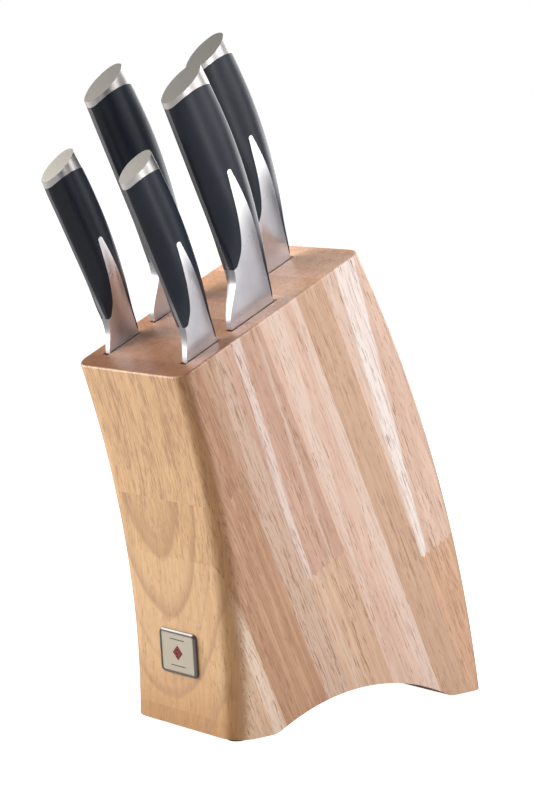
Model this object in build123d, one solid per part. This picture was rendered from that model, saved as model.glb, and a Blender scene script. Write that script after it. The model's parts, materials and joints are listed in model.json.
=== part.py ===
from build123d import *
import os
from math import asin, cos, degrees, hypot, radians, sin, sqrt

# Knife block of glued hardwood staves with five full-tang forged knives.
# Millimetres, +Z up. X runs across the block, the narrow front face looks towards -Y and the
# back towards +Y. The origin lies on the table, midway between the foremost butt cap and the
# heel of the block. "Along" is measured on the slanted top face from its front edge towards
# the back, "depth" is measured down the slots from the top face, "height" the other way.

# ---- block ----
block_width = 90.0
foot_height = 1.5
base_front_y = -61.5
base_back_y = 124.8
top_front_y = -98.4
top_front_z = 194.4 + foot_height
top_tilt = 25.7
top_length = 138.8
front_radius = 530.5
back_radius = 713.0
front_corner_top = 9.0
front_corner_base = 13.0
back_corner = 9.0
section_count = 9
arch_front_y = -33.0
arch_back_y = 97.0
arch_rise = 15.8
arch_end_blend = 14.0
top_edge_round = 1.2
far = 400.0                  # longer than anything here: the reach of every cutting tool

# ---- staves: glue lines measured along the top ----
glue_lines = [-47.2, -18.0, 12.6, 28.8, 57.6, 86.1, 105.8]
stave_names = ["toe_stave", "front_lower_stave", "front_upper_stave", "second_stave",
               "third_stave", "fourth_stave", "fifth_stave", "back_stave"]
finger_joint_depths = {"front_upper_stave": 72.0, "third_stave": 141.0, "back_stave": 175.5}
finger_length = 2.4
finger_pitch = 4.0

# ---- slots and knives ----
slot_width = 5.0
slot_side_x = 32.3
slot_front_room = 0.8
slot_back_room = 2.4
slot_floor_gap = 0.3
tang_thickness = 2.4
blade_thickness = 2.6
edge_thickness = 0.4
mouth_thickness = 3.8
bolster_sink = 6.0
blade_lap = 2.0              # the blade starts this far up inside the bolster
end_face_slope = 18.5
tongue_tip_round = 1.5

blade_styles = {
    "paring": {"tip": 0.22, "spine_run": 0.55, "edge_run": 0.30, "tip_lean": 0.25, "tip_belly": 0.8},
    "utility": {"tip": 0.22, "spine_run": 0.60, "edge_run": 0.45, "tip_lean": 0.20, "tip_belly": 0.7},
    "carving": {"tip": 0.30, "spine_run": 0.70, "edge_run": 0.62, "tip_lean": 0.20, "tip_belly": 0.6},
    "bread": {"tip": 0.75, "spine_run": 0.86, "edge_run": 0.96, "tip_lean": 1.6, "tip_belly": 0.5},
    "chef": {"tip": 0.30, "spine_run": 0.45, "edge_run": 0.25, "tip_lean": 0.15, "tip_belly": 0.6},
}
scallop_count = 20
scallop_first = 22.0
scallop_pitch = 8.4
scallop_radius = 7.0
scallop_depth = 1.1

# ---- badge ----
badge_width = 30.0
badge_tall = 24.0
badge_centre_z = 41.0 + foot_height
badge_proud = 2.0
badge_sunk = 0.9
badge_rim = 1.6
badge_corner = 2.6
badge_bevel = 0.7
enamel_below_rim = 0.35
enamel_thick = 0.9

# ---- rubber feet ----
foot_radius = 5.0
foot_round = 0.4
foot_x = 34.5
front_foot_y = -53.0
back_foot_y = 116.5

tilt = radians(top_tilt)


def smooth(low, high, value):
    """0 below low, 1 above high, and an S-curve between them."""
    t = min(max((value - low) / (high - low), 0.0), 1.0)
    return t * t * (3.0 - 2.0 * t)


def on_top(x, along, height=0.0):
    """Frame at a place above the top face: its Z points out of the slot, its Y to the back."""
    return Pos(x, top_front_y, top_front_z) * Rot(top_tilt, 0, 0) * Pos(0, along, height)


def front_y(z):
    """The front face is hollow: upright at the table and leaning forward at the top."""
    rise = z - foot_height
    return base_front_y - front_radius + sqrt(front_radius**2 - rise**2)


def back_centre():
    """Centre of the crowned back, which passes through the base edge and the top back edge."""
    top_y = top_front_y + top_length * cos(tilt)
    top_z = top_front_z + top_length * sin(tilt)
    across = base_back_y - top_y
    up = top_z - foot_height
    half = hypot(across, up) / 2.0
    reach = sqrt(back_radius**2 - half**2)
    middle_y = (top_y + base_back_y) / 2.0
    middle_z = (top_z + foot_height) / 2.0
    return middle_y - reach * up / (2.0 * half), middle_z - reach * across / (2.0 * half)


def back_y(z):
    centre_y, centre_z = back_centre()
    return centre_y + sqrt(back_radius**2 - (z - centre_z)**2)


def block_section(z):
    """Level outline of the block: its front corners are rounder near the table."""
    lowest = foot_height
    share = smooth(lowest, top_front_z, z)
    front_round = front_corner_base + (front_corner_top - front_corner_base) * share
    side = block_width / 2.0
    front = front_y(z)
    back = back_y(z)
    bend_front = front_round * (1.0 - sqrt(0.5))
    bend_back = back_corner * (1.0 - sqrt(0.5))
    points = [(-side + front_round, front), (side - front_round, front), (side, front + front_round),
              (side, back - back_corner), (side - back_corner, back), (-side + back_corner, back),
              (-side, back - back_corner), (-side, front + front_round)]
    mids = [None, (side - bend_front, front + bend_front), None, (side - bend_back, back - bend_back),
            None, (-side + bend_back, back - bend_back), None, (-side + bend_front, front + bend_front)]
    edges = []
    for index, start in enumerate(points):
        end = points[(index + 1) % len(points)]
        middle = mids[index]
        a = Vector(start[0], start[1], z)
        b = Vector(end[0], end[1], z)
        if middle is None:
            edges.append(Edge.make_line(a, b))
        else:
            edges.append(Edge.make_three_point_arc(a, Vector(middle[0], middle[1], z), b))
    return Wire(edges)


def arch_cutter():
    """The hollow under the block, one flat arc from the front foot to the back foot."""
    middle = (arch_front_y + arch_back_y) / 2.0
    low = -far
    with BuildPart() as cutter:
        with BuildSketch(Plane.YZ.offset(-block_width)):
            with BuildLine():
                start = (arch_front_y, foot_height)
                end = (arch_back_y, foot_height)
                ThreePointArc(start, (middle, foot_height + arch_rise), end)
                Polyline(end, (arch_back_y, low), (arch_front_y, low), start)
            make_face()
        extrude(amount=2.0 * block_width)
    return cutter.part


def block_body():
    """The whole block before it is parted into its staves."""
    spare = 4.0
    highest = top_front_z + top_length * sin(tilt) + spare
    step = (highest - foot_height) / (section_count - 1)
    sections = [block_section(foot_height + step * i) for i in range(section_count)]
    body = Solid.make_loft(sections, False)
    body = body - on_top(0, 0, far / 2.0) * Box(far, 2.0 * far, far)
    body = body - arch_cutter()
    arch_ends = [e for e in body.edges() if e.geom_type == GeomType.LINE]
    body = body.fillet(arch_end_blend, arch_ends)
    out_of_slots = Axis((0, 0, 0), (0, -sin(tilt), cos(tilt)))
    body = body.fillet(top_edge_round, body.faces().sort_by(out_of_slots)[-1].edges())
    return body


def finger_line(front, back, depth):
    """Zigzag of a finger joint across a stave, as (along, depth) corners."""
    count = int((back - front) / finger_pitch)
    corners = []
    for i in range(2 * count + 1):
        side = 0.5 if i % 2 else -0.5
        corners.append((front + (back - front) * i / (2.0 * count), depth + side * finger_length))
    return corners


def stave_prism(front, back, low_side=None, depth=0.0):
    """Everything between two glue lines, right across the block: all of it, or only the
    part above or below a finger joint."""
    top = -far
    bottom = far
    if low_side is None:
        outline = [(front, top), (back, top), (back, bottom), (front, bottom)]
    elif low_side:
        outline = finger_line(front, back, depth) + [(back, bottom), (front, bottom)]
    else:
        outline = finger_line(front, back, depth) + [(back, top), (front, top)]
    with BuildPart() as prism:
        with BuildSketch(Plane.YZ.offset(-block_width)):
            with BuildLine():
                Polyline(*[(along, -down) for along, down in outline], close=True)
            make_face()
        extrude(amount=2.0 * block_width)
    return on_top(0, 0) * prism.part


# ---- knives ----
# Lengths are heights above the top face, and widths are distances from the blade's spine.
# spine: the spine's place along the top. heel: blade width at the slot. blade: length below it.
# grip: height of the butt cap's joint. bow: how far the grip's back edge swells, most at widest.
# belly, belly_butt: the grip's front edge at the bolster and at the cap. flare: between these
# heights the bolster spreads to the heel. tongue, tongue_y: tip of the steel tongue on each
# flank. scale_end: lower end of the scales. joint_arch: how far the cap's joint arches up.
# butt_band: height of the cap's band at the grip's front edge.
small = {"bow": 7.0, "widest": 65.0, "flare_from": -5.0, "flare_to": 16.0, "tongue": 60.6, "tongue_y": -4.7,
         "scale_end": 17.4, "joint_arch": 3.2, "butt_band": 3.8}
large = {"bow": 12.5, "widest": 85.0, "flare_from": 0.0, "flare_to": 27.0, "tongue": 79.0, "tongue_y": -3.0,
         "scale_end": 29.0, "joint_arch": 4.2, "butt_band": 3.4}
knives = [
    {**small, "name": "paring_knife", "edge": "paring", "x": -slot_side_x, "spine": 36.6, "heel": 23.2,
     "blade": 92.0, "grip": 96.0, "belly": 15.6, "belly_butt": 19.4, "grip_thick": 15.2, "butt_thick": 14.6},
    {**large, "name": "carving_knife", "edge": "carving", "x": -slot_side_x, "spine": 79.6, "heel": 31.0,
     "blade": 200.0, "grip": 121.0, "belly": 17.6, "belly_butt": 19.0, "grip_thick": 17.8, "butt_thick": 17.0},
    {**small, "name": "utility_knife", "edge": "utility", "x": slot_side_x, "spine": 36.8, "heel": 23.4,
     "blade": 125.0, "grip": 96.5, "belly": 16.4, "belly_butt": 18.4, "grip_thick": 15.6, "butt_thick": 15.0},
    {**large, "name": "bread_knife", "edge": "bread", "x": slot_side_x, "spine": 79.6, "heel": 31.6,
     "blade": 200.0, "grip": 120.5, "belly": 19.0, "belly_butt": 19.4, "grip_thick": 18.6, "butt_thick": 17.6},
    {**large, "name": "chefs_knife", "edge": "chef", "x": 0.0, "spine": 124.8, "heel": 43.6,
     "blade": 195.0, "grip": 117.0, "belly": 19.0, "belly_butt": 19.4, "grip_thick": 18.6, "butt_thick": 17.6,
     "widest": 82.0, "tongue": 75.5, "scale_end": 26.6},
]


def spine_line(knife, height):
    """The grip's back edge, as a distance from the blade's spine."""
    if height <= 0.0:
        return 0.0
    past = abs(knife["widest"] - height) / knife["widest"]
    return knife["bow"] * (1.0 - past**1.9)


def belly_line(knife, height):
    """The grip's front edge, which flares out to the heel just above the slot."""
    rise = min(max(height / knife["grip"], 0.0), 1.0)
    grip = -knife["belly"] - (knife["belly_butt"] - knife["belly"]) * rise
    swing = 1.0 - smooth(knife["flare_from"], knife["flare_to"], height)
    return grip + (-knife["heel"] - grip) * swing


def grip_thickness(knife, height):
    full = knife["grip_thick"]
    butt = knife["butt_thick"]
    blend = 0.5 * knife["grip"]
    if height <= blend:
        return mouth_thickness + (full - mouth_thickness) * smooth(0.0, blend, height)
    return full + (butt - full) * smooth(blend, knife["grip"], height)


def oval(belly, spine, thick, height, belly_round=1.0, spine_round=1.0, fullness=0.3):
    """Level outline of the grip, four arcs: each edge belongs to an oval where its roundness
    is 1, and is a flat slab edge where it is 0. Fullness is the oval's end radius over its
    thickness."""
    wide = spine - belly
    middle = (spine + belly) / 2.0
    end = fullness * thick
    flank = ((wide / 2.0 - end)**2 + (thick / 2.0)**2 - end**2) / (thick - 2.0 * end)
    share = end / (flank - end)
    oval_edge = share * (flank - thick / 2.0)
    oval_depth = wide / 2.0 - (wide / 2.0 - end) * (1.0 + share)
    slab_edge = 0.46 * thick
    slab_depth = 0.06
    front = slab_edge + (oval_edge - slab_edge) * belly_round
    front_depth = slab_depth + (oval_depth - slab_depth) * belly_round
    back = slab_edge + (oval_edge - slab_edge) * spine_round
    back_depth = slab_depth + (oval_depth - slab_depth) * spine_round
    corners = [Vector(-front, belly + front_depth, height), Vector(front, belly + front_depth, height),
               Vector(back, spine - back_depth, height), Vector(-back, spine - back_depth, height)]
    mids = [Vector(0, belly, height), Vector(thick / 2.0, middle, height),
            Vector(0, spine, height), Vector(-thick / 2.0, middle, height)]
    arcs = [Edge.make_three_point_arc(corners[i], mids[i], corners[(i + 1) % 4]) for i in range(4)]
    return Wire(arcs)


def grip_solid(knife):
    """Bolster, grip and butt as one shape, later parted into steel, scales and cap."""
    joint = knife["grip"]
    even = 50.0
    heights = [0.0, 5.0, 10.0, 16.0, 22.0, 29.0, 38.0, even]
    heights += [even + (joint - even) * step / 3.0 for step in (1, 2, 3)]
    sections = []
    for share in (1.0, 0.5):
        thick = mouth_thickness + (blade_thickness - mouth_thickness) * share
        height = -bolster_sink * share
        sections.append(oval(belly_line(knife, height), 0.0, thick, height, 0.0, 0.0))
    for height in heights:
        belly_round = smooth(0.1 * joint, 0.45 * joint, height)
        spine_round = smooth(0.0, 0.2 * joint, height)
        fullness = 0.3 + 0.06 * smooth(even, joint, height)
        sections.append(oval(belly_line(knife, height), spine_line(knife, height),
                             grip_thickness(knife, height), height, belly_round, spine_round, fullness))
    nose_tall = 20.0
    nose_lean = 2.4
    for share in (0.3, 0.65, 1.0):
        sections.append(oval(belly_line(knife, joint), spine_line(knife, joint) - nose_lean * share,
                             knife["butt_thick"], joint + nose_tall * share, fullness=0.36))
    return Solid.make_loft(sections, False)


def tongue_edges(knife):
    """Front and back edge of the steel tongue as (y, height), each from the bolster to the tip.
    The front edge starts across the grip and turns up; the back edge follows the spine."""
    tip = knife["tongue"]
    low = knife["scale_end"]
    shoulder = tip - 1.3 * tongue_tip_round
    front_tip = knife["tongue_y"] - tongue_tip_round
    back_tip = knife["tongue_y"] + tongue_tip_round
    reach = front_tip + knife["belly"]
    front = []
    for rise in (0.0, 0.05, 0.12, 0.22, 0.4, 0.7, 1.0):
        left = 1.0 - rise
        y = front_tip - reach * (0.44 * left + 0.43 * left**8)
        front.append((y, low + (shoulder - low) * rise))
    strip = 0.8
    tip_strip = spine_line(knife, shoulder) - back_tip - strip
    back = []
    for rise in (0.0, 0.15, 0.35, 0.6, 0.8, 1.0):
        height = 3.0 + (shoulder - 3.0) * rise
        back.append((spine_line(knife, height) - strip - tip_strip * rise**1.2, height))
    return front, back


def steel_zone(knife):
    """Side view of the bolster steel with its tongue, as a cutting tool across the knife."""
    front, back = tongue_edges(knife)
    low = knife["scale_end"]
    belly = -knife["belly"]
    outside = -far / 2.0
    bottom = -far / 2.0
    start = [(belly - 3.0, low + 2.5), (belly + 0.3, low - 0.2)]
    with BuildPart() as cutter:
        with BuildSketch(Plane.YZ.offset(-far / 2.0)):
            with BuildLine():
                Line((outside, low + 2.5), start[0])
                Spline(*start, *front)
                ThreePointArc(front[-1], (knife["tongue_y"], knife["tongue"]), back[-1])
                Spline(*reversed(back))
                Polyline(back[0], (1.5, 1.0), (far, 1.0), (far, bottom), (outside, bottom), (outside, low + 2.5))
            make_face()
        extrude(amount=far)
    return cutter.part


def blade_solid(knife):
    """Blade below the bolster: flat-ground from the spine to the edge."""
    length = knife["blade"]
    heel = knife["heel"]
    style = blade_styles[knife["edge"]]
    top = -bolster_sink + blade_lap
    spine_turn = -style["spine_run"] * length
    edge_turn = -style["edge_run"] * length
    tip = (-style["tip"] * heel, -length)
    with BuildPart() as blank:
        with BuildSketch(Plane.YZ.offset(-blade_thickness)):
            with BuildLine():
                Line((0, top), (0, spine_turn))
                Spline((0, spine_turn), tip, tangents=[(0, -1), (-style["tip_lean"], -1)])
                Spline(tip, (-heel, edge_turn), tangents=[(-style["tip_belly"], 1), (0, 1)])
                Polyline((-heel, edge_turn), (-heel, top), (0, top))
            make_face()
        extrude(amount=2.0 * blade_thickness)
    half = blade_thickness / 2.0
    thin = edge_thickness / 2.0
    with BuildPart() as wedge:
        with BuildSketch(Plane.XY.offset(-length - 1.0)):
            with BuildLine():
                Polyline((-half, 0), (half, 0), (thin, -heel), (-thin, -heel), close=True)
            make_face()
        extrude(amount=length + 1.0)
    blade = blank.part & wedge.part
    if knife["edge"] == "bread":
        for i in range(scallop_count):
            height = -scallop_first - i * scallop_pitch
            scallop = Pos(0, -heel - scallop_radius + scallop_depth, height) * Rot(0, 90, 0)
            blade = blade - scallop * Cylinder(scallop_radius, 4.0 * blade_thickness)
    return blade


def cap_zone(knife):
    """Everything above the butt cap's joint, which arches up across the flank."""
    joint = knife["grip"]
    belly = belly_line(knife, joint)
    spine = spine_line(knife, joint)
    rise = knife["joint_arch"]
    with BuildPart() as cutter:
        with BuildSketch(Plane.YZ.offset(-far / 2.0)):
            with BuildLine():
                Line((-far, joint), (belly, joint))
                ThreePointArc((belly, joint), ((belly + spine) / 2.0, joint + rise), (spine, joint))
                Polyline((spine, joint), (far, joint), (far, far), (-far, far), (-far, joint))
            make_face()
        extrude(amount=far)
    return cutter.part


def knife_pieces(knife):
    """Forged steel, two scales and the butt cap, standing in their slot."""
    whole = grip_solid(knife)
    above = cap_zone(knife)
    corner = Pos(0, belly_line(knife, knife["grip"]), knife["grip"] + knife["butt_band"])
    beyond_end = corner * Rot(end_face_slope, 0, 0) * Pos(0, 0, far / 2.0) * Box(far, far, far)
    cap = (whole & above) - beyond_end
    grip = whole - above
    tang = Box(tang_thickness, far, 2.0 * far)
    bolster = steel_zone(knife)
    steel = (grip & bolster) + (grip & tang) + blade_solid(knife)
    scales = grip - bolster - tang
    left = scales & Pos(-far / 2.0, 0, 0) * Box(far, far, 2.0 * far)
    right = scales & Pos(far / 2.0, 0, 0) * Box(far, far, 2.0 * far)
    name = knife["name"]
    stand = on_top(knife["x"], knife["spine"])
    pieces = {"_blade": steel, "_left_scale": left, "_right_scale": right, "_butt_cap": cap}
    return {name + ending: stand * piece for ending, piece in pieces.items()}


def slot_cutter(knife):
    deep = knife["blade"] + slot_floor_gap
    front = knife["spine"] - knife["heel"] - slot_front_room
    back = knife["spine"] + slot_back_room
    above = 5.0
    middle = (front + back) / 2.0
    return on_top(knife["x"], middle, (above - deep) / 2.0) * Box(slot_width, back - front, deep + above)


def badge_frame():
    """Frame on the front face: Z points out of the wood."""
    lean = degrees(asin((badge_centre_z - foot_height) / front_radius))
    return Pos(0, front_y(badge_centre_z), badge_centre_z) * Rot(90 + lean, 0, 0)


def badge_pieces():
    """Metal badge frame, let into the wood, with an enamel plate inside its rim."""
    thick = badge_proud + badge_sunk
    with BuildPart() as rim:
        with BuildSketch(Plane.XY.offset(-badge_sunk)):
            RectangleRounded(badge_width, badge_tall, badge_corner)
        extrude(amount=thick)
        chamfer(rim.faces().sort_by(Axis.Z)[-1].edges(), length=badge_bevel)
    with BuildPart() as plate:
        with BuildSketch(Plane.XY.offset(badge_proud - enamel_below_rim - enamel_thick)):
            RectangleRounded(badge_width - 2 * badge_rim, badge_tall - 2 * badge_rim, badge_corner - badge_rim)
        extrude(amount=enamel_thick)
    pocket = plate.part + Pos(0, 0, enamel_below_rim) * plate.part
    place = badge_frame()
    return {"badge_frame": place * (rim.part - pocket), "badge_enamel": place * plate.part}


def badge_pocket():
    with BuildPart() as pocket:
        with BuildSketch(Plane.XY.offset(-badge_sunk)):
            RectangleRounded(badge_width, badge_tall, badge_corner)
        extrude(amount=badge_sunk + far)
    return badge_frame() * pocket.part


def foot_pieces():
    feet = {}
    for end, y in (("front", front_foot_y), ("back", back_foot_y)):
        for side, x in (("left", -foot_x), ("right", foot_x)):
            disc = Pos(x, y, foot_height / 2.0) * Cylinder(foot_radius, foot_height)
            disc = disc.fillet(foot_round, disc.edges().group_by(Axis.Z)[0])
            feet[end + "_" + side + "_foot"] = disc
    return feet


def stave_pieces():
    """Staves between the glue lines, with the slots and the badge's pocket milled in them."""
    body = block_body() - badge_pocket()
    for knife in knives:
        body = body - slot_cutter(knife)
    limits = [-far] + glue_lines + [far]
    staves = {}
    for name, front, back in zip(stave_names, limits[:-1], limits[1:]):
        if name in finger_joint_depths:
            depth = finger_joint_depths[name]
            staves[name + "_top"] = body & stave_prism(front, back, False, depth)
            staves[name + "_bottom"] = body & stave_prism(front, back, True, depth)
        else:
            staves[name] = body & stave_prism(front, back)
    return staves


def make_all():
    pieces = stave_pieces()
    for knife in knives:
        pieces.update(knife_pieces(knife))
    pieces.update(badge_pieces())
    pieces.update(foot_pieces())
    return pieces


if __name__ == "__main__":
    os.makedirs("parts", exist_ok=True)
    for name, piece in make_all().items():
        solids = piece.solids()
        export_step(solids[0] if len(solids) == 1 else Compound(solids), "parts/" + name + ".step")
        print(name, len(solids), round(piece.volume, 1))
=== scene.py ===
import json
from math import atan2, cos, radians, sin

import bmesh
import bpy
from mathutils import Matrix, Vector


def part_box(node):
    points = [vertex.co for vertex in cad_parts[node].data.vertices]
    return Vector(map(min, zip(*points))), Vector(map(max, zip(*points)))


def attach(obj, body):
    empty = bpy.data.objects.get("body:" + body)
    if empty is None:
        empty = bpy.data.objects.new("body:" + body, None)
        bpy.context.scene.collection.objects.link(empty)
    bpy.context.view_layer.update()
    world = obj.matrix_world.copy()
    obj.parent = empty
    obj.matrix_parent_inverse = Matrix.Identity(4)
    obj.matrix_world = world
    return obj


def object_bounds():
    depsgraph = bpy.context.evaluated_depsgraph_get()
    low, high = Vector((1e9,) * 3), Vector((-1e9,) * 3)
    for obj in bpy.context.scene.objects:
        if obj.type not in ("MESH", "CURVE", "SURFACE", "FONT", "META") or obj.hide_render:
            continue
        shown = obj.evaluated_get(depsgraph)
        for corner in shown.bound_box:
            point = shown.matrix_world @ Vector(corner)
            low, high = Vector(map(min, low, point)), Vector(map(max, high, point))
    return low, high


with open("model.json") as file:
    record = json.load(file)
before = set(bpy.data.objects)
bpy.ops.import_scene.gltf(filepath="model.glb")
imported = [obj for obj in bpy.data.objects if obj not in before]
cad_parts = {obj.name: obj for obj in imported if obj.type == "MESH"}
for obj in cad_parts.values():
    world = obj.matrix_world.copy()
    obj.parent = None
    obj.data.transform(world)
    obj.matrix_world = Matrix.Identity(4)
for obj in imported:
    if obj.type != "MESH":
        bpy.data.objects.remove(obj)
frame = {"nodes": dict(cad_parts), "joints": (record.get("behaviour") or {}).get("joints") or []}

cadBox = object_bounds()
nodes = frame["nodes"]
slotAxis = Vector(frame["joints"][0]["axis"]).normalized()   # every knife slides along it
slotTilt = atan2(-slotAxis.y, slotAxis.z)
topFront = min((v.co for v in nodes["front_upper_stave_top"].data.vertices), key=lambda co: co.y).copy()
topFront.x = 0
white = (1.0, 1.0, 1.0, 1.0)
print("frame loaded:", len(nodes), "nodes, slots tilted", round(slotTilt, 3))


def plug(tree, node, sockets):
    for key, value in sockets.items():
        if isinstance(value, bpy.types.NodeSocket):
            tree.links.new(value, node.inputs[key])
        else:
            node.inputs[key].default_value = value


def put(tree, kind, sockets=None, **settings):
    node = tree.nodes.new(kind)
    for name, value in settings.items():
        setattr(node, name, value)
    plug(tree, node, sockets or {})
    return node


def calc(tree, operation, a, b=0.0, c=0.0, clamp=False):
    return put(tree, "ShaderNodeMath", {0: a, 1: b, 2: c}, operation=operation, use_clamp=clamp).outputs[0]


def times(tree, a, b):
    return calc(tree, "MULTIPLY", a, b)


def fade(tree, share, atNone, atFull):
    return calc(tree, "MULTIPLY_ADD", share, atFull - atNone, atNone)


def vectorCalc(tree, operation, a, b):
    node = put(tree, "ShaderNodeVectorMath", {0: a, 1: b}, operation=operation)
    return node.outputs["Value" if operation == "DOT_PRODUCT" else "Vector"]


def axes(tree, vector):
    return put(tree, "ShaderNodeSeparateXYZ", {0: vector}).outputs


def blendColor(tree, share, a, b, mode="MIX"):
    node = put(tree, "ShaderNodeMix", {0: share, 6: a, 7: b}, data_type="RGBA", blend_type=mode)
    return node.outputs[2]


def step(tree, value, low, high, outLow=0.0, outHigh=1.0):
    node = put(tree, "ShaderNodeMapRange", {0: value, 1: low, 2: high, 3: outLow, 4: outHigh})
    node.interpolation_type = "SMOOTHSTEP"
    return node.outputs[0]


def stretched(tree, place, sizes, detail=2.0, roughness=0.5):
    scaled = vectorCalc(tree, "MULTIPLY", place, [1 / s for s in sizes])
    return put(tree, "ShaderNodeTexNoise", {"Vector": scaled, "Scale": 1.0, "Detail": detail,
                                            "Roughness": roughness}).outputs[0]


def wobble(tree, noise, amount):
    return times(tree, calc(tree, "SUBTRACT", noise, 0.5), amount)


def seeded(tree, place, seed, stride):
    away = put(tree, "ShaderNodeVectorMath", {0: stride, "Scale": seed}, operation="SCALE")
    return vectorCalc(tree, "ADD", place, away.outputs[0])


def opaque(color, shade=1.0):
    return (*[c * shade for c in color], 1.0)


def newGroup(name, inputs, outputs):
    group = bpy.data.node_groups.new(name, "ShaderNodeTree")
    for label, kind, value in inputs:
        socket = group.interface.new_socket(label, in_out="INPUT", socket_type=kind)
        if value is not None:
            socket.default_value = value
    for label in outputs:
        group.interface.new_socket(label, in_out="OUTPUT", socket_type="NodeSocketFloat")
    return group, group.nodes.new("NodeGroupInput").outputs, group.nodes.new("NodeGroupOutput")


def placeGroup(tree, group, sockets):
    return put(tree, "ShaderNodeGroup", sockets, node_tree=group).outputs


def newMaterial(name):
    material = bpy.data.materials.new(name)
    material.use_nodes = True
    tree = material.node_tree
    return material, tree, tree.nodes["Principled BSDF"]


def roughen(tree, shader, height, strength, distance):
    bump = put(tree, "ShaderNodeBump", {"Height": height, "Strength": strength, "Distance": distance})
    plug(tree, shader, {"Normal": bump.outputs[0]})


def slotPlace(tree):
    # millimetres across, along the top face and up out of the slots, from the top front edge
    coords = put(tree, "ShaderNodeTexCoord")
    mapping = put(tree, "ShaderNodeMapping", {"Vector": coords.outputs["Object"], "Location": topFront,
                                              "Rotation": (slotTilt, 0, 0), "Scale": (0.001, 0.001, 0.001)},
                  vector_type="TEXTURE")
    return mapping.outputs[0], coords.outputs["Normal"]


def dress(material, *names):
    for name in names:
        data = nodes[name].data
        data.materials.clear()
        data.materials.append(material)


studio = {
    "azimuth": 48.96, "elevation": 6.82, "distance": 1.3536, "lens": 112.5,
    "aim": (0.0, -0.0179, 0.1365), "right": 0.01206, "up": 0.03789, "skyLight": 0.22, "skySeen": 1.0,
}

azimuth = radians(studio["azimuth"])
elevation = radians(studio["elevation"])
back = Vector((sin(azimuth) * cos(elevation), -cos(azimuth) * cos(elevation), sin(elevation)))
right = Vector((cos(azimuth), sin(azimuth), 0))
up = back.cross(right)
cameraData = bpy.data.cameras.new("camera")
cameraData.lens = studio["lens"]
camera = bpy.data.objects.new("camera", cameraData)
turn = Matrix((right, up, back)).transposed().to_4x4()
spot = Vector(studio["aim"]) + back * studio["distance"] + right * studio["right"] + up * studio["up"]
camera.matrix_world = Matrix.Translation(spot) @ turn
bpy.context.scene.collection.objects.link(camera)
bpy.context.scene.camera = camera
bpy.context.scene.view_settings.view_transform = "Standard"

softboxes = {
    "right_box": {"at": (1.05, 0.78, 1.00), "size": (1.5, 1.4), "watts": 17.5, "color": (1.0, 0.985, 0.975)},
    "strip_box": {"at": (1.20, 0.22, 0.50), "size": (0.22, 0.9), "watts": 5.0, "color": (1.0, 1.0, 1.0)},
    "left_box": {"at": (-1.15, -0.95, 0.60), "size": (1.5, 1.7), "watts": 45.0, "color": (1.0, 0.97, 0.92)},
    "cap_box": {"at": (-1.15, -0.12, 1.20), "size": (0.8, 0.8), "watts": 0.45, "color": (1.0, 1.0, 1.0)},
    "back_box": {"at": (-0.5, 1.5, 0.55), "size": (1.2, 0.9), "watts": 9.0, "color": (1.0, 1.0, 1.0)},
}
middle = (cadBox[0] + cadBox[1]) / 2
for name, box in softboxes.items():
    lightData = bpy.data.lights.new(name, "AREA")
    lightData.shape = "RECTANGLE"
    lightData.size, lightData.size_y = box["size"]
    lightData.energy = box["watts"]
    lightData.color = box["color"]
    light = bpy.data.objects.new(name, lightData)
    light.location = box["at"]
    light.rotation_euler = (middle - Vector(box["at"])).to_track_quat("-Z", "Y").to_euler()
    bpy.context.scene.collection.objects.link(light)

# the camera sees white air, the block gets only a weak light from it
world = bpy.data.worlds.new("studio_air")
bpy.context.scene.world = world
world.use_nodes = True
sky = world.node_tree
sky.nodes.clear()
seen = put(sky, "ShaderNodeLightPath").outputs["Is Camera Ray"]
strength = step(sky, seen, 0.0, 1.0, studio["skyLight"], studio["skySeen"])
air = put(sky, "ShaderNodeBackground", {"Color": white, "Strength": strength})
put(sky, "ShaderNodeOutputWorld", {0: air.outputs[0]})

floorLook = {"radius": 14.0, "sides": 96, "color": (0.62, 0.62, 0.62), "roughness": 0.9, "specular": 0.1, "glow": 1.0}
floorMesh = bpy.data.meshes.new("studio_floor")
shape = bmesh.new()
bmesh.ops.create_circle(shape, cap_ends=True, segments=floorLook["sides"], radius=floorLook["radius"])
shape.to_mesh(floorMesh)
shape.free()
floor = bpy.data.objects.new("studio_floor", floorMesh)
bpy.context.scene.collection.objects.link(floor)
paper, tree, shader = newMaterial("floor_paper")
# only the camera sees the glow: the paper shows white and lights the block as grey paper would
glow = times(tree, put(tree, "ShaderNodeLightPath").outputs["Is Camera Ray"], floorLook["glow"])
plug(tree, shader, {"Base Color": opaque(floorLook["color"]), "Roughness": floorLook["roughness"],
                    "Specular IOR Level": floorLook["specular"], "Emission Color": white,
                    "Emission Strength": glow})
floorMesh.materials.append(paper)
print("camera, lights and floor are set")

# short dark pores, long fibres, streaks, veins and broad clouds, all running down the slots
# sizes are millimetres across, along and up; the numbers after them are detail and roughness
grainLook = {
    "stride": (37.0, 53.0, 91.0), "sway": ((30, 30, 70), 1.0), "pores": ((0.7, 0.7, 11.0), 2.0, 0.65),
    "poreZones": ((7.0, 7.0, 45.0), 2.0, 0.5), "fibres": ((0.5, 0.5, 40.0), 3.0, 0.6),
    "streaks": ((3.2, 3.2, 170.0), 3.0, 0.6), "veins": ((1.0, 1.0, 24.0), 3.0, 0.65),
    "clouds": ((22.0, 22.0, 90.0), 2.0, 0.5), "poreLevel": 0.76, "zonePull": 0.5, "poreEdge": 0.09,
    "veinRange": (0.5, 0.66), "fibreHeight": 0.35,
}
grain, take, give = newGroup(
    "wood_grain",
    [("Place", "NodeSocketVector", None), ("Seed", "NodeSocketFloat", 0.0), ("Waviness", "NodeSocketFloat", 1.5),
     ("Pore Amount", "NodeSocketFloat", 0.5)],
    ["Pores", "Fibres", "Streaks", "Veins", "Clouds", "Height"])
moved = seeded(grain, take["Place"], take["Seed"], grainLook["stride"])
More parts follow.
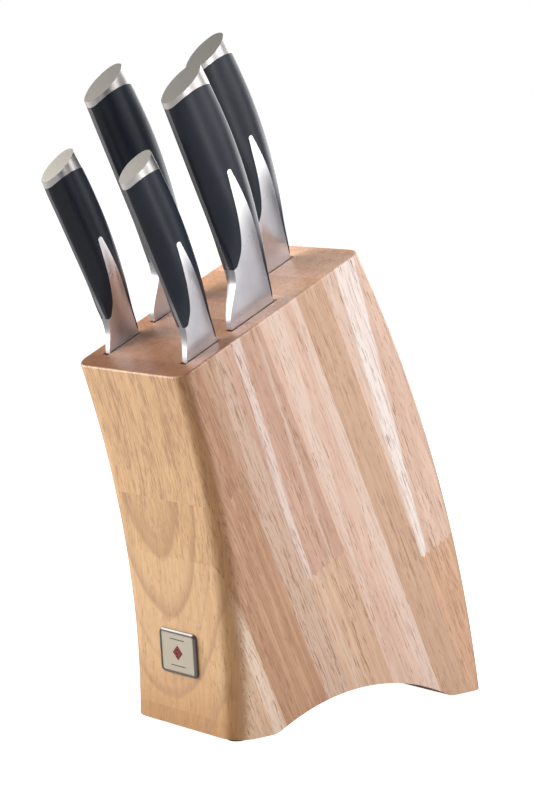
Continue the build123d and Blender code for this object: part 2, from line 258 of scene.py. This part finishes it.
sway = wobble(grain, stretched(grain, moved, *grainLook["sway"]), take["Waviness"])
swayed = vectorCalc(grain, "ADD", moved, put(grain, "ShaderNodeCombineXYZ", {0: sway, 1: sway}).outputs[0])
poreZones = times(grain, stretched(grain, swayed, *grainLook["poreZones"]), grainLook["zonePull"])
poreLevel = calc(grain, "SUBTRACT", grainLook["poreLevel"], times(grain, take["Pore Amount"], poreZones))
poreDepth = calc(grain, "SUBTRACT", stretched(grain, swayed, *grainLook["pores"]), poreLevel)
pores = step(grain, poreDepth, 0.0, grainLook["poreEdge"])
fibres = stretched(grain, swayed, *grainLook["fibres"])
veins = step(grain, stretched(grain, swayed, *grainLook["veins"]), *grainLook["veinRange"])
plug(grain, give, {
    "Pores": pores, "Fibres": fibres, "Veins": veins,
    "Streaks": stretched(grain, swayed, *grainLook["streaks"]),
    "Clouds": stretched(grain, swayed, *grainLook["clouds"]),
    "Height": calc(grain, "SUBTRACT", times(grain, fibres, grainLook["fibreHeight"]), pores),
})

# a pale or dark band that leans and tapers down the board
bandLook = {"stride": (11.0, 7.0, 29.0), "rag": ((2.2, 2.2, 75.0), 3.0, 0.65)}
band, take, give = newGroup(
    "leaning_band",
    [("Place", "NodeSocketVector", None), ("Centre", "NodeSocketFloat", 0.0), ("Lean", "NodeSocketFloat", 0.0),
     ("Width", "NodeSocketFloat", 4.0), ("Taper", "NodeSocketFloat", 0.0), ("Softness", "NodeSocketFloat", 2.0),
     ("Raggedness", "NodeSocketFloat", 2.0), ("Seed", "NodeSocketFloat", 0.0)],
    ["Mask"])
_, along, height = axes(band, take["Place"])
deep = times(band, height, -1.0)
moved = seeded(band, take["Place"], take["Seed"], bandLook["stride"])
rag = wobble(band, stretched(band, moved, *bandLook["rag"]), take["Raggedness"])
centre = calc(band, "MULTIPLY_ADD", deep, take["Lean"], take["Centre"])
away = calc(band, "ABSOLUTE", calc(band, "ADD", calc(band, "SUBTRACT", along, centre), rag))
half = calc(band, "MAXIMUM", calc(band, "MULTIPLY_ADD", deep, take["Taper"], take["Width"]), 0.0)
inside = calc(band, "DIVIDE", calc(band, "SUBTRACT", half, away), take["Softness"])
plug(band, give, {"Mask": step(band, inside, -0.5, 0.5)})

# growth rings round a pith line that runs down the board: dark late wood with a sharp outer edge
# stops are (share of the ramp, darkness), and the ramp is this many millimetres from the pith
ringLook = {"sway": ((28.0, 28.0, 40.0), 1.0), "reach": 100.0}
ringStops = [(0.0, 0.0), (0.30, 0.1), (0.366, 0.75), (0.374, 0.0), (0.43, 0.1), (0.466, 0.9), (0.474, 0.05),
             (0.54, 0.15), (0.553, 0.5), (0.56, 0.1), (0.61, 0.2), (0.631, 0.8), (0.64, 0.05), (0.72, 0.2),
             (0.755, 0.7), (0.765, 0.0)]
rings, take, give = newGroup(
    "growth_rings",
    [("Place", "NodeSocketVector", None), ("Pith Across", "NodeSocketFloat", 0.0),
     ("Pith Along", "NodeSocketFloat", 0.0), ("Waviness", "NodeSocketFloat", 3.0)],
    ["Rings"])
across, along, _ = axes(rings, take["Place"])
sway = wobble(rings, stretched(rings, take["Place"], *ringLook["sway"]), take["Waviness"])
offX = calc(rings, "SUBTRACT", across, take["Pith Across"])
offY = calc(rings, "SUBTRACT", along, take["Pith Along"])
radius = calc(rings, "SQRT", calc(rings, "ADD", times(rings, offX, offX), times(rings, offY, offY)))
share = calc(rings, "DIVIDE", calc(rings, "ADD", radius, sway), ringLook["reach"])
ramp = put(rings, "ShaderNodeValToRGB", {0: share})
for stopAt, _ in ringStops[2:]:
    ramp.color_ramp.elements.new(stopAt)
for element, (stopAt, level) in zip(ramp.color_ramp.elements, ringStops):
    element.position = stopAt
    element.color = (level, level, level, 1.0)
plug(rings, give, {"Rings": ramp.outputs[0]})

# colours are light and dark wood, linear; bands are (centre, lean, width, taper, ragged, colour, share)
pale = (0.86, 0.75, 0.66, 1.0)
cream = (0.74, 0.58, 0.44, 1.0)
woodLooks = {
    "toe_stave": {
        "light": (0.66, 0.46, 0.31), "dark": (0.56, 0.36, 0.23), "pores": 0.75, "seed": 1.0, "rings": 0.75,
        "frontShade": (0.90, 0.86, 0.78, 1.0)},
    "front_lower_stave": {
        "light": (0.70, 0.51, 0.36), "dark": (0.58, 0.38, 0.25), "pores": 0.7, "seed": 2.0, "rings": 0.75,
        "bands": [(-19.5, -0.02, 1.6, 0.012, 2.0, pale, 0.8)]},
    "front_upper_stave_top": {
        "light": (0.62, 0.37, 0.23), "dark": (0.46, 0.25, 0.145), "pores": 0.95, "seed": 3.0},
    "front_upper_stave_bottom": {
        "light": (0.62, 0.37, 0.23), "dark": (0.45, 0.245, 0.14), "pores": 0.8, "seed": 4.0, "rings": 0.75},
    "second_stave": {
        "light": (0.60, 0.38, 0.265), "dark": (0.50, 0.30, 0.20), "pores": 0.85, "seed": 5.0,
        "bands": [(29.0, -0.06, 6.0, 0.03, 7.0, pale, 0.4)]},
    "third_stave_top": {
        "light": (0.66, 0.42, 0.315), "dark": (0.54, 0.325, 0.235), "pores": 0.7, "seed": 6.0,
        "bands": [(39.5, -0.08, 3.2, -0.005, 6.0, white, 0.6), (54.0, -0.05, 1.2, 0.0, 3.0, pale, 0.5)]},
    "third_stave_bottom": {
        "light": (0.74, 0.51, 0.37), "dark": (0.60, 0.38, 0.255), "pores": 0.7, "seed": 7.0,
        "bands": [(32.0, 0.012, 3.0, 0.0, 5.0, cream, 0.7)]},
    "fourth_stave": {
        "light": (0.77, 0.545, 0.44), "dark": (0.66, 0.44, 0.34), "pores": 0.6, "seed": 8.0,
        "bands": [(84.0, 0.0, 3.5, 0.02, 8.0, pale, 0.55), (68.0, -0.04, 6.0, -0.03, 8.0, pale, 0.6)]},
    "fifth_stave": {
        "light": (0.655, 0.43, 0.30), "dark": (0.55, 0.345, 0.23), "pores": 0.65, "seed": 9.0},
    "back_stave_top": {
        "light": (0.78, 0.56, 0.45), "dark": (0.64, 0.43, 0.33), "pores": 0.7, "seed": 10.0,
        "bands": [(124.0, -0.095, 7.5, -0.03, 4.0, white, 0.9), (111.0, -0.03, 3.0, 0.0, 3.0, pale, 0.4)]},
    "back_stave_bottom": {
        "light": (0.74, 0.47, 0.31), "dark": (0.60, 0.35, 0.22), "pores": 0.8, "seed": 11.0},
}
# tints multiply the colour under them; the top tint is the end grain's own darker tone, while the corner, low, top
# back and top front tints are painted shade and painted light
lacquerAndPaintedLight = {
    "frontLight": (0.76, 0.485, 0.25, 1.0), "frontDark": (0.67, 0.405, 0.195, 1.0),
    "topTint": (0.76, 0.59, 0.44, 1.0), "topBackPaintedLight": (1.45, 1.30, 1.16, 1.0),
    "topFrontPaintedShadow": (0.78, 0.74, 0.70, 1.0), "cornerShadeTint": (0.68, 0.55, 0.39, 1.0),
    "lowShadeTint": (0.78, 0.68, 0.52, 1.0), "veinTint": (0.74, 0.64, 0.58),
    "poreColor": (0.34, 0.17, 0.09, 1.0), "ringColor": (0.36, 0.19, 0.085, 1.0),
    "roughness": 0.42, "uneven": 0.06, "coat": 0.35, "topCoat": 0.07, "coatRoughness": 0.22,
    "poreStrength": 0.6, "poreDepth": 0.00006,
}
# a pair is where a smooth step starts and ends, and two more numbers are what it gives there
woodSteps = {
    "front": (-0.45, -0.9), "top": (0.6, 0.95), "corner": (0.35, 1.0), "tone": (0.35, 0.65), "cloud": (0.35, 0.68),
    "bandFibres": (0.36, 0.6, 0.15, 0.55), "bandStreaks": (0.4, 0.6, 0.25, 0.45), "fine": (0.35, 0.65, 0.0, 0.4),
    "low": (0.045, 0.004), "topBack": (5.0, 115.0), "topFront": (16.0, 9.0),
}
# a pair is the share on the sides and the share on the face named
woodShares = {
    "frontLength": (1.0, 0.3), "bandOnTop": (1.0, 0.25), "veinsOnFront": (0.55, 0.20), "poresOnFront": (0.85, 0.60),
    "cloud": 0.5,
}
woodShape = {"waviness": 3.0, "bandSoftness": 1.6, "pith": (-9.0, 18.6), "ringWaviness": 4.0}


def addBands(tree, color, place, look, strength):
    for number, (at, lean, width, taper, ragged, bandColor, share) in enumerate(look.get("bands", [])):
        mask = placeGroup(tree, band, {
            "Place": place, "Centre": at, "Lean": lean, "Width": width, "Taper": taper,
            "Softness": woodShape["bandSoftness"], "Raggedness": ragged, "Seed": number + look["seed"]})["Mask"]
        color = blendColor(tree, times(tree, times(tree, mask, strength), share), color, bandColor)
    return color


def addRings(tree, color, place, look, front):
    pithAcross, pithAlong = woodShape["pith"]
    mask = placeGroup(tree, rings, {"Place": place, "Pith Across": pithAcross, "Pith Along": pithAlong,
                                    "Waviness": woodShape["ringWaviness"]})["Rings"]
    share = times(tree, times(tree, mask, front), look["rings"])
    return blendColor(tree, share, color, lacquerAndPaintedLight["ringColor"])


def addTopTintsAndPaintedLight(tree, color, place, topShare):
    # the top face takes the end grain's own darker tint, and towards the back a painted light brightens it where the
    # knives' shadows fall
    along = axes(tree, place)[1]
    paintedLightToBack = step(tree, along, *woodSteps["topBack"])
    topTint = blendColor(tree, paintedLightToBack, lacquerAndPaintedLight["topTint"], lacquerAndPaintedLight["topBackPaintedLight"])
    color = blendColor(tree, topShare, color, topTint, "MULTIPLY")
    # painted shadow: a band along the top face's front edge is darkened
    paintedFrontShadow = times(tree, topShare, step(tree, along, *woodSteps["topFront"]))
    return blendColor(tree, paintedFrontShadow, color, lacquerAndPaintedLight["topFrontPaintedShadow"], "MULTIPLY")


def woodMaterial(name, look):
    material, tree, shader = newMaterial(name + "_wood")
    place, normal = slotPlace(tree)
    facing = axes(tree, normal)
    front = step(tree, facing[1], *woodSteps["front"])
    topShare = step(tree, vectorCalc(tree, "DOT_PRODUCT", normal, slotAxis), *woodSteps["top"])
    drawnOut = put(tree, "ShaderNodeCombineXYZ", {0: 1.0, 1: fade(tree, front, *woodShares["frontLength"]), 2: 1.0})
    wood = placeGroup(tree, grain, {
        "Place": vectorCalc(tree, "MULTIPLY", place, drawnOut.outputs[0]), "Seed": look["seed"],
        "Waviness": woodShape["waviness"], "Pore Amount": look["pores"]})
    light, dark = opaque(look["light"]), opaque(look["dark"])

    tone = step(tree, wood["Streaks"], *woodSteps["tone"])
    color = blendColor(tree, tone, light, dark)
    cloudy = times(tree, step(tree, wood["Clouds"], *woodSteps["cloud"]), woodShares["cloud"])
    color = blendColor(tree, cloudy, color, dark)
    sideShare = calc(tree, "SUBTRACT", fade(tree, topShare, *woodShares["bandOnTop"]), front, clamp=True)
    streaky = calc(tree, "ADD", step(tree, wood["Fibres"], *woodSteps["bandFibres"]),
                   step(tree, wood["Streaks"], *woodSteps["bandStreaks"]))
    color = addBands(tree, color, place, look, times(tree, sideShare, streaky))

    frontColor = blendColor(tree, tone, lacquerAndPaintedLight["frontLight"], lacquerAndPaintedLight["frontDark"])
    frontColor = blendColor(tree, 1.0, frontColor, look.get("frontShade", white), "MULTIPLY")
    color = blendColor(tree, front, color, frontColor)
    # painted shade: the front face darkens towards the floor
    aboveFloor = axes(tree, put(tree, "ShaderNodeTexCoord").outputs["Object"])[2]
    low = times(tree, front, step(tree, aboveFloor, *woodSteps["low"]))
    color = blendColor(tree, low, color, lacquerAndPaintedLight["lowShadeTint"], "MULTIPLY")
    if "rings" in look:
        color = addRings(tree, color, place, look, front)

    color = blendColor(tree, step(tree, wood["Fibres"], *woodSteps["fine"]), color, dark)
    veined = opaque([c * v for c, v in zip(look["dark"], lacquerAndPaintedLight["veinTint"])])
    veinShare = times(tree, wood["Veins"], fade(tree, front, *woodShares["veinsOnFront"]))
    color = blendColor(tree, veinShare, color, veined)
    poreShare = times(tree, wood["Pores"], fade(tree, front, *woodShares["poresOnFront"]))
    color = blendColor(tree, poreShare, color, lacquerAndPaintedLight["poreColor"])
    # painted shade: the rounded vertical corners, facing between front and side, are darkened as if no softbox
    # reached them
    corner = times(tree, calc(tree, "ABSOLUTE", times(tree, facing[0], facing[1])), 2.0)
    color = blendColor(tree, step(tree, corner, *woodSteps["corner"]), color, lacquerAndPaintedLight["cornerShadeTint"], "MULTIPLY")
    color = addTopTintsAndPaintedLight(tree, color, place, topShare)

    smooth, rough = lacquerAndPaintedLight["roughness"] - lacquerAndPaintedLight["uneven"], lacquerAndPaintedLight["roughness"] + lacquerAndPaintedLight["uneven"]
    plug(tree, shader, {"Base Color": color, "Roughness": fade(tree, wood["Fibres"], smooth, rough),
                        "Coat Weight": fade(tree, topShare, lacquerAndPaintedLight["coat"], lacquerAndPaintedLight["topCoat"]),
                        "Coat Roughness": lacquerAndPaintedLight["coatRoughness"]})
    roughen(tree, shader, wood["Height"], lacquerAndPaintedLight["poreStrength"], lacquerAndPaintedLight["poreDepth"])
    return material


for name, look in woodLooks.items():
    dress(woodMaterial(name, look), name)
print("wood is on", len(woodLooks), "staves")

# fine lines left by the grinding belt, and broad smudges
brushLook = {"lineDetail": 2.0, "smudges": ((14.0, 14.0, 22.0), 3.0, 0.6)}
brush, take, give = newGroup(
    "brushed_lines",
    [("Place", "NodeSocketVector", None), ("Across", "NodeSocketFloat", 0.25),
     ("Lengthwise", "NodeSocketFloat", 14.0)],
    ["Lines", "Smudges"])
fineness = put(brush, "ShaderNodeCombineXYZ", {0: take["Across"], 1: take["Across"], 2: take["Lengthwise"]})
scaled = vectorCalc(brush, "DIVIDE", take["Place"], fineness.outputs[0])
lines = put(brush, "ShaderNodeTexNoise", {"Vector": scaled, "Scale": 1.0, "Detail": brushLook["lineDetail"]})
plug(brush, give, {"Lines": lines.outputs[0],
                   "Smudges": stretched(brush, take["Place"], *brushLook["smudges"])})

metalLooks = {
    "forged_steel": {
        "color": (0.68, 0.665, 0.71), "roughness": 0.25, "across": 0.3, "lengthwise": 9.0, "relief": 0.000002,
        "edgeShade": (0.14, 0.14, 0.15), "tongueHighlight": (0.96, 0.96, 0.97), "tongueFrom": (34.0, 62.0),
        "tongueRougher": 0.16, "edgeFacing": (0.55, 0.85), "edgeFrom": (26.0, 36.0, 0.7, 1.0)},
    "cap_steel": {
        "color": (0.60, 0.58, 0.57), "roughness": 0.31, "across": 0.3, "lengthwise": 0.3, "relief": 0.000002,
        "endFace": (0.40, 0.382, 0.35), "endFacing": (0.7, 0.85)},
    "badge_nickel": {
        "color": (0.20, 0.19, 0.19), "roughness": 0.30, "across": 0.5, "lengthwise": 0.5, "relief": 0.00001},
}
metalFinish = {"smudgeShade": 0.86, "smudgeRange": (0.3, 0.75), "uneven": 0.05, "lineStrength": 0.5}


def metalMaterial(name, look):
    material, tree, shader = newMaterial(name)
    place, normal = slotPlace(tree)
    lines = placeGroup(tree, brush, {"Place": place, "Across": look["across"], "Lengthwise": look["lengthwise"]})
    smudged = step(tree, lines["Smudges"], *metalFinish["smudgeRange"])
    color = blendColor(tree, smudged, opaque(look["color"]), opaque(look["color"], metalFinish["smudgeShade"]))
    smooth, rough = look["roughness"] - metalFinish["uneven"], look["roughness"] + metalFinish["uneven"]
    roughness = fade(tree, lines["Lines"], smooth, rough)
    if "edgeShade" in look:   # painted highlight and painted shade: the tongue that carries the cap gets whiter, rougher steel so it reads bright, and the tang's edge between the scales gets near-black steel so it reads shaded
        height = axes(tree, place)[2]
        highlightedTongue = step(tree, height, *look["tongueFrom"])
        color = blendColor(tree, highlightedTongue, color, opaque(look["tongueHighlight"]))
        roughness = calc(tree, "MULTIPLY_ADD", highlightedTongue, look["tongueRougher"], roughness)
        # painted shade: steel facing the spine and belly is darkened, a little less low down
        facing = vectorCalc(tree, "DOT_PRODUCT", normal, (0, cos(slotTilt), sin(slotTilt)))
        shadedEdge = step(tree, calc(tree, "ABSOLUTE", facing), *look["edgeFacing"])
        shadedEdge = times(tree, shadedEdge, step(tree, height, *look["edgeFrom"]))
        color = blendColor(tree, shadedEdge, color, opaque(look["edgeShade"]))
    if "endFace" in look:   # the flat end is ground matt, the band round it is brighter
        upward = vectorCalc(tree, "DOT_PRODUCT", normal, slotAxis)
        color = blendColor(tree, step(tree, upward, *look["endFacing"]), color, opaque(look["endFace"]))
    plug(tree, shader, {"Base Color": color, "Roughness": roughness, "Metallic": 1.0})
    roughen(tree, shader, lines["Lines"], metalFinish["lineStrength"], look["relief"])
    return material


steel, capSteel, nickel = [metalMaterial(name, look) for name, look in metalLooks.items()]

resinLook = {"color": (0.005, 0.008, 0.016), "sheen": (0.011, 0.017, 0.031), "roughness": 0.33, "uneven": 0.05,
             "specular": 0.36, "haze": ((18.0, 18.0, 40.0), 2.0, 0.5), "speck": ((0.45, 0.45, 0.45), 2.0, 0.6),
             "relief": 0.00001, "reliefStrength": 0.35}
resin, tree, shader = newMaterial("handle_resin")
place = slotPlace(tree)[0]
haze = stretched(tree, place, *resinLook["haze"])
smooth, rough = resinLook["roughness"] - resinLook["uneven"], resinLook["roughness"] + resinLook["uneven"]
plug(tree, shader, {"Base Color": blendColor(tree, haze, opaque(resinLook["color"]), opaque(resinLook["sheen"])),
                    "Roughness": fade(tree, haze, smooth, rough), "Specular IOR Level": resinLook["specular"]})
speck = stretched(tree, place, *resinLook["speck"])
roughen(tree, shader, speck, resinLook["reliefStrength"], resinLook["relief"])

enamelLook = {"color": (0.50, 0.455, 0.37), "warm": (0.45, 0.395, 0.31), "roughness": 0.2, "coat": 0.6,
              "cloud": ((6.0, 6.0, 6.0), 3.0, 0.5), "relief": 0.00004, "reliefStrength": 0.3}
enamel, tree, shader = newMaterial("cream_enamel")
cloud = stretched(tree, slotPlace(tree)[0], *enamelLook["cloud"])
plug(tree, shader, {"Base Color": blendColor(tree, cloud, opaque(enamelLook["color"]), opaque(enamelLook["warm"])),
                    "Roughness": enamelLook["roughness"], "Coat Weight": enamelLook["coat"]})
roughen(tree, shader, cloud, enamelLook["reliefStrength"], enamelLook["relief"])

rubberLook = {"color": (0.016, 0.016, 0.017), "dust": (0.05, 0.048, 0.045), "roughness": 0.75,
              "grain": ((1.2, 1.2, 1.2), 4.0, 0.7), "dustRange": (0.45, 0.75), "relief": 0.0001,
              "reliefStrength": 0.5}
rubber, tree, shader = newMaterial("foot_rubber")
rubberGrain = stretched(tree, slotPlace(tree)[0], *rubberLook["grain"])
dusty = step(tree, rubberGrain, *rubberLook["dustRange"])
plug(tree, shader, {"Base Color": blendColor(tree, dusty, opaque(rubberLook["color"]), opaque(rubberLook["dust"])),
                    "Roughness": rubberLook["roughness"]})
roughen(tree, shader, rubberGrain, rubberLook["reliefStrength"], rubberLook["relief"])

for ending, material in (("_blade", steel), ("_butt_cap", capSteel), ("_scale", resin), ("_foot", rubber)):
    dress(material, *[name for name in nodes if name.endswith(ending)])
dress(nickel, "badge_frame")
dress(enamel, "badge_enamel")
print("steel, resin, enamel and rubber are on")

# a plain lozenge and two rules stand a hair above the enamel, as separate coloured fillings
ornament = {"lozenge": 0.0058, "ruleLength": 0.0120, "ruleWidth": 0.0005, "ruleOffset": 0.0072,
            "proud": 0.00006, "sink": 0.0003, "edgeRound": 0.00004,
            "red": (0.20, 0.012, 0.018), "ink": (0.05, 0.045, 0.045)}
paintLook = {"mottle": ((1.5, 1.5, 1.5), 3.0, 0.6), "shade": 0.7, "roughness": (0.2, 0.35)}

enamelMesh = nodes["badge_enamel"].data
faceNormal = max((f.normal * f.area for f in enamelMesh.polygons), key=lambda n: -n.y).normalized()
enamelLow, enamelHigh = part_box("badge_enamel")
enamelMiddle = (Vector(enamelLow) + Vector(enamelHigh)) / 2
reach = max((v.co - enamelMiddle).dot(faceNormal) for v in enamelMesh.vertices)
acrossWay = Vector((1, 0, 0))
upWay = faceNormal.cross(acrossWay)
if upWay.z < 0:
    upWay = -upWay
badgeTurn = Matrix((acrossWay, upWay, acrossWay.cross(upWay))).transposed().to_4x4()
badgePlace = Matrix.Translation(enamelMiddle + faceNormal * reach) @ badgeTurn


def inlay(name, middleUp, width, height, turned, material):
    shape = bmesh.new()
    bmesh.ops.create_cube(shape, size=1.0)
    thick = ornament["proud"] + ornament["sink"]
    flat = Matrix.Diagonal((1.0, 1.0, thick, 1.0))
    spin = Matrix.Rotation(turned, 4, "Z")
    squeeze = Matrix.Diagonal((width, height, 1.0, 1.0))
    deepDown = Matrix.Translation((0, middleUp, ornament["proud"] - thick / 2))
    bmesh.ops.transform(shape, matrix=deepDown @ squeeze @ spin @ flat, verts=shape.verts)
    bmesh.ops.bevel(shape, geom=shape.edges[:], offset=ornament["edgeRound"], offset_type="OFFSET", segments=2,
                    profile=0.5, affect="EDGES", material=-1)
    bmesh.ops.transform(shape, matrix=badgePlace, verts=shape.verts)
    bmesh.ops.recalc_face_normals(shape, faces=shape.faces)
    mesh = bpy.data.meshes.new(name)
    shape.to_mesh(mesh)
    shape.free()
    mesh.materials.append(material)
    piece = bpy.data.objects.new(name, mesh)
    bpy.context.scene.collection.objects.link(piece)
    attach(piece, "block")


def paintMaterial(name, color):
    material, tree, shader = newMaterial(name)
    mottle = stretched(tree, slotPlace(tree)[0], *paintLook["mottle"])
    plug(tree, shader, {"Base Color": blendColor(tree, mottle, opaque(color), opaque(color, paintLook["shade"])),
                        "Roughness": fade(tree, mottle, *paintLook["roughness"])})
    return material


redPaint = paintMaterial("burgundy_paint", ornament["red"])
inkPaint = paintMaterial("ink_paint", ornament["ink"])
inlay("badge_lozenge", 0.0, ornament["lozenge"], ornament["lozenge"], radians(45), redPaint)
for side, label in ((1, "upper"), (-1, "lower")):
    inlay("badge_rule_" + label, side * ornament["ruleOffset"], ornament["ruleLength"], ornament["ruleWidth"], 0.0,
          inkPaint)
print("badge filling is on")
